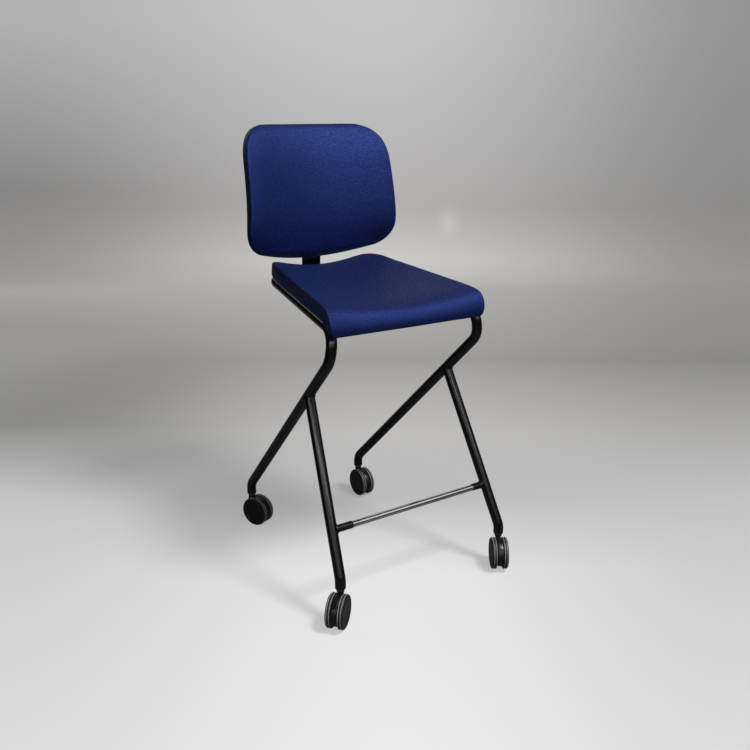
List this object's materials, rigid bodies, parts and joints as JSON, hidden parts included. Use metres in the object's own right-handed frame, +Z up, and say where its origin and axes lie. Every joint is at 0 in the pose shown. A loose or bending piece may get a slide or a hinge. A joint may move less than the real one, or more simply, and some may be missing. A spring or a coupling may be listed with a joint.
{
  "type": "counter-height chair on casters",
  "caption": "Counter-height chair with upholstered seat and curved back on a bent black tube frame, a bright footrest bar between the front legs, and swivelling twin-wheel casters.",
  "frame": {"origin": "middle of the object's box at floor level, under the seat", "axes": "+Z up from the floor; the front of the chair faces -Y; +X is the right side as seen from the front"},
  "size_m": [0.5223, 0.6122, 1.0131],
  "materials": {
    "powder_coat": "satin black powder coat",
    "fabric": "dark blue woven upholstery",
    "bright_steel": "bright plated bar",
    "zinc_steel": "zinc plated",
    "shell_plastic": "black moulded shell",
    "caster_plastic": "black moulded nylon",
    "tread_rubber": "grey tread"
  },
  "bodies": {
    "frame": {"side_tube_left": "powder_coat", "side_tube_right": "powder_coat", "front_leg_left": "powder_coat", "front_leg_right": "powder_coat", "rear_cross_tube": "powder_coat", "front_cross_tube": "powder_coat", "footrest_sleeve_left": "powder_coat", "footrest_sleeve_right": "powder_coat", "footrest_bar": "bright_steel", "seat_shell": "shell_plastic", "seat_pad": "fabric", "seat_tab_front_left": "powder_coat", "seat_screw_front_left": "zinc_steel", "seat_tab_front_right": "powder_coat", "seat_screw_front_right": "zinc_steel", "seat_tab_rear_left": "powder_coat", "seat_screw_rear_left": "zinc_steel", "seat_tab_rear_right": "powder_coat", "seat_screw_rear_right": "zinc_steel", "back_bracket": "powder_coat", "back_shell": "shell_plastic", "back_pad": "fabric", "back_screw_low": "zinc_steel", "back_screw_high": "zinc_steel", "caster_front_left_socket": "zinc_steel", "caster_front_right_socket": "zinc_steel", "caster_rear_left_socket": "zinc_steel", "caster_rear_right_socket": "zinc_steel"},
    "caster_front_left_swivel": {"caster_front_left_stem": "zinc_steel", "caster_front_left_body": "caster_plastic", "caster_front_left_axle": "zinc_steel"},
    "caster_front_left_wheel_a": {"caster_front_left_wheel_a": "caster_plastic", "caster_front_left_tread_a": "tread_rubber"},
    "caster_front_left_wheel_b": {"caster_front_left_wheel_b": "caster_plastic", "caster_front_left_tread_b": "tread_rubber"},
    "caster_front_right_swivel": {"caster_front_right_stem": "zinc_steel", "caster_front_right_body": "caster_plastic", "caster_front_right_axle": "zinc_steel"},
    "caster_front_right_wheel_a": {"caster_front_right_wheel_a": "caster_plastic", "caster_front_right_tread_a": "tread_rubber"},
    "caster_front_right_wheel_b": {"caster_front_right_wheel_b": "caster_plastic", "caster_front_right_tread_b": "tread_rubber"},
    "caster_rear_left_swivel": {"caster_rear_left_stem": "zinc_steel", "caster_rear_left_body": "caster_plastic", "caster_rear_left_axle": "zinc_steel"},
    "caster_rear_left_wheel_a": {"caster_rear_left_wheel_a": "caster_plastic", "caster_rear_left_tread_a": "tread_rubber"},
    "caster_rear_left_wheel_b": {"caster_rear_left_wheel_b": "caster_plastic", "caster_rear_left_tread_b": "tread_rubber"},
    "caster_rear_right_swivel": {"caster_rear_right_stem": "zinc_steel", "caster_rear_right_body": "caster_plastic", "caster_rear_right_axle": "zinc_steel"},
    "caster_rear_right_wheel_a": {"caster_rear_right_wheel_a": "caster_plastic", "caster_rear_right_tread_a": "tread_rubber"},
    "caster_rear_right_wheel_b": {"caster_rear_right_wheel_b": "caster_plastic", "caster_rear_right_tread_b": "tread_rubber"}
  },
  "joints": [
    {"name": "caster_front_left_swivel", "type": "hinge", "parent": "frame", "child": "caster_front_left_swivel", "pos_m": [-0.2076, -0.2497, 0.0813], "axis": [0, 0, 1], "continuous": true},
    {"name": "caster_front_left_roll_a", "type": "hinge", "parent": "caster_front_left_swivel", "child": "caster_front_left_wheel_a", "pos_m": [-0.22182, -0.26184, 0.0375], "axis": [0.6494, -0.7604, 0], "continuous": true},
    {"name": "caster_front_left_roll_b", "type": "hinge", "parent": "caster_front_left_swivel", "child": "caster_front_left_wheel_b", "pos_m": [-0.22182, -0.26184, 0.0375], "axis": [0.6494, -0.7604, 0], "continuous": true},
    {"name": "caster_front_right_swivel", "type": "hinge", "parent": "frame", "child": "caster_front_right_swivel", "pos_m": [0.236, -0.2497, 0.0813], "axis": [0, 0, 1], "continuous": true},
    {"name": "caster_front_right_roll_a", "type": "hinge", "parent": "caster_front_right_swivel", "child": "caster_front_right_wheel_a", "pos_m": [0.22604, -0.26552, 0.0375], "axis": [0.8462, -0.5329, 0], "continuous": true},
    {"name": "caster_front_right_roll_b", "type": "hinge", "parent": "caster_front_right_swivel", "child": "caster_front_right_wheel_b", "pos_m": [0.22604, -0.26552, 0.0375], "axis": [0.8462, -0.5329, 0], "continuous": true},
    {"name": "caster_rear_left_swivel", "type": "hinge", "parent": "frame", "child": "caster_rear_left_swivel", "pos_m": [-0.1531, 0.2817, 0.0813], "axis": [0, 0, 1], "continuous": true},
    {"name": "caster_rear_left_roll_a", "type": "hinge", "parent": "caster_rear_left_swivel", "child": "caster_rear_left_wheel_a", "pos_m": [-0.14514, 0.26478, 0.0375], "axis": [0.9048, 0.4258, 0], "continuous": true},
    {"name": "caster_rear_left_roll_b", "type": "hinge", "parent": "caster_rear_left_swivel", "child": "caster_rear_left_wheel_b", "pos_m": [-0.14514, 0.26478, 0.0375], "axis": [0.9048, 0.4258, 0], "continuous": true},
    {"name": "caster_rear_right_swivel", "type": "hinge", "parent": "frame", "child": "caster_rear_right_swivel", "pos_m": [0.1815, 0.2817, 0.0813], "axis": [0, 0, 1], "continuous": true},
    {"name": "caster_rear_right_roll_a", "type": "hinge", "parent": "caster_rear_right_swivel", "child": "caster_rear_right_wheel_a", "pos_m": [0.1814, 0.263, 0.0375], "axis": [1, -0.0052, 0], "continuous": true},
    {"name": "caster_rear_right_roll_b", "type": "hinge", "parent": "caster_rear_right_swivel", "child": "caster_rear_right_wheel_b", "pos_m": [0.1814, 0.263, 0.0375], "axis": [1, -0.0052, 0], "continuous": true}
  ]
}
